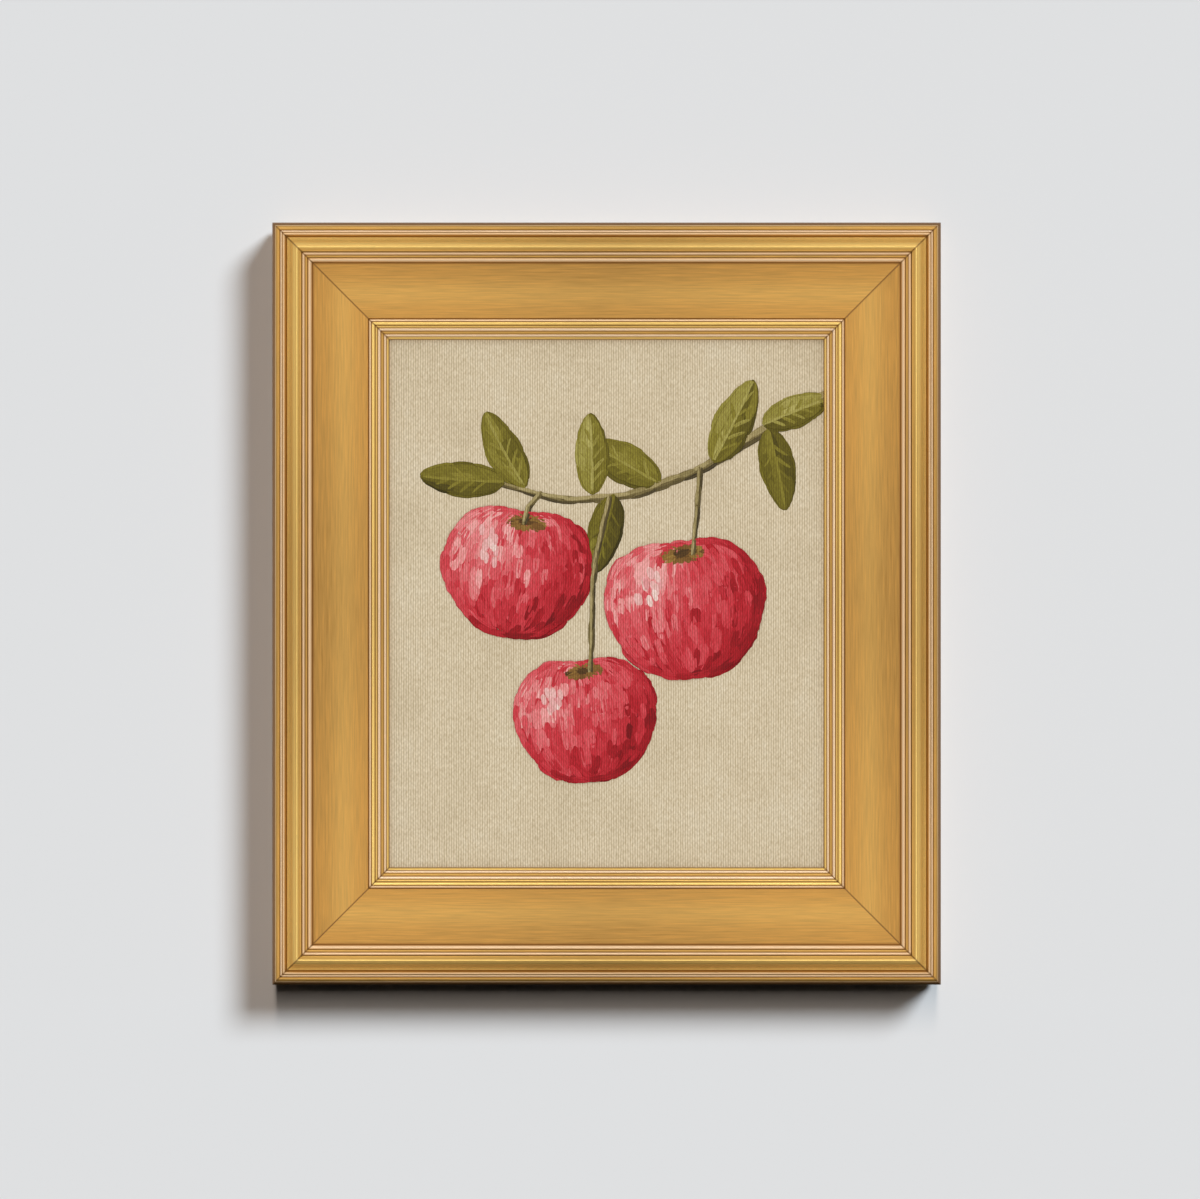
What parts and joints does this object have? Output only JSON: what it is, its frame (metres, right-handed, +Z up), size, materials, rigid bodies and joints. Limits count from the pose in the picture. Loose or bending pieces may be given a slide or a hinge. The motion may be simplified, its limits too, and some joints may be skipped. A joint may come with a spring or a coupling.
{
  "type": "framed canvas painting",
  "caption": "Small painting on stretched canvas in a gilded, reeded and mitred wooden frame, with a sawtooth hanger and rubber bumpers, made to hang flat on a wall.",
  "frame": {"origin": "middle notch of the sawtooth hanger, in the plane of the wall, where the wall's nail carries the picture", "axes": "+Z up, +Y into the wall, so the painting faces -Y; +X to the right of someone who looks at the painting"},
  "size_m": [0.372, 0.0416, 0.424],
  "materials": {
    "gilded_wood": "burnished metal leaf on wood, satin, with umber in the grooves",
    "pine": "planed, unfinished",
    "beech": "sawn, unfinished",
    "painted_canvas": "primed cotton canvas with oil paint, satin",
    "zinc_plated_steel": "bright zinc plate",
    "brass_plated_steel": "thin bright brass plate",
    "rubber": "moulded, matt"
  },
  "bodies": {
    "root": {"rail_top": "gilded_wood", "rail_right": "gilded_wood", "rail_bottom": "gilded_wood", "rail_left": "gilded_wood", "vnail_top_1": "zinc_plated_steel", "vnail_top_2": "zinc_plated_steel", "vnail_right_1": "zinc_plated_steel", "vnail_right_2": "zinc_plated_steel", "vnail_bottom_1": "zinc_plated_steel", "vnail_bottom_2": "zinc_plated_steel", "vnail_left_1": "zinc_plated_steel", "vnail_left_2": "zinc_plated_steel", "clip_right_1": "zinc_plated_steel", "clip_right_2": "zinc_plated_steel", "clip_left_1": "zinc_plated_steel", "clip_left_2": "zinc_plated_steel", "clip_screw_right_1": "zinc_plated_steel", "clip_screw_right_2": "zinc_plated_steel", "clip_screw_left_1": "zinc_plated_steel", "clip_screw_left_2": "zinc_plated_steel", "stretcher_top": "pine", "stretcher_right": "pine", "stretcher_bottom": "pine", "stretcher_left": "pine", "key_top_1": "beech", "key_top_2": "beech", "key_right_1": "beech", "key_right_2": "beech", "key_bottom_1": "beech", "key_bottom_2": "beech", "key_left_1": "beech", "key_left_2": "beech", "canvas": "painted_canvas", "staple_top_1": "zinc_plated_steel", "staple_top_2": "zinc_plated_steel", "staple_top_3": "zinc_plated_steel", "staple_top_4": "zinc_plated_steel", "staple_right_1": "zinc_plated_steel", "staple_right_2": "zinc_plated_steel", "staple_right_3": "zinc_plated_steel", "staple_right_4": "zinc_plated_steel", "staple_right_5": "zinc_plated_steel", "staple_bottom_1": "zinc_plated_steel", "staple_bottom_2": "zinc_plated_steel", "staple_bottom_3": "zinc_plated_steel", "staple_bottom_4": "zinc_plated_steel", "staple_left_1": "zinc_plated_steel", "staple_left_2": "zinc_plated_steel", "staple_left_3": "zinc_plated_steel", "staple_left_4": "zinc_plated_steel", "staple_left_5": "zinc_plated_steel", "sawtooth_hanger": "brass_plated_steel", "hanger_nail_left": "brass_plated_steel", "hanger_nail_right": "brass_plated_steel", "bumper_left": "rubber", "bumper_right": "rubber"}
  },
  "joints": []
}
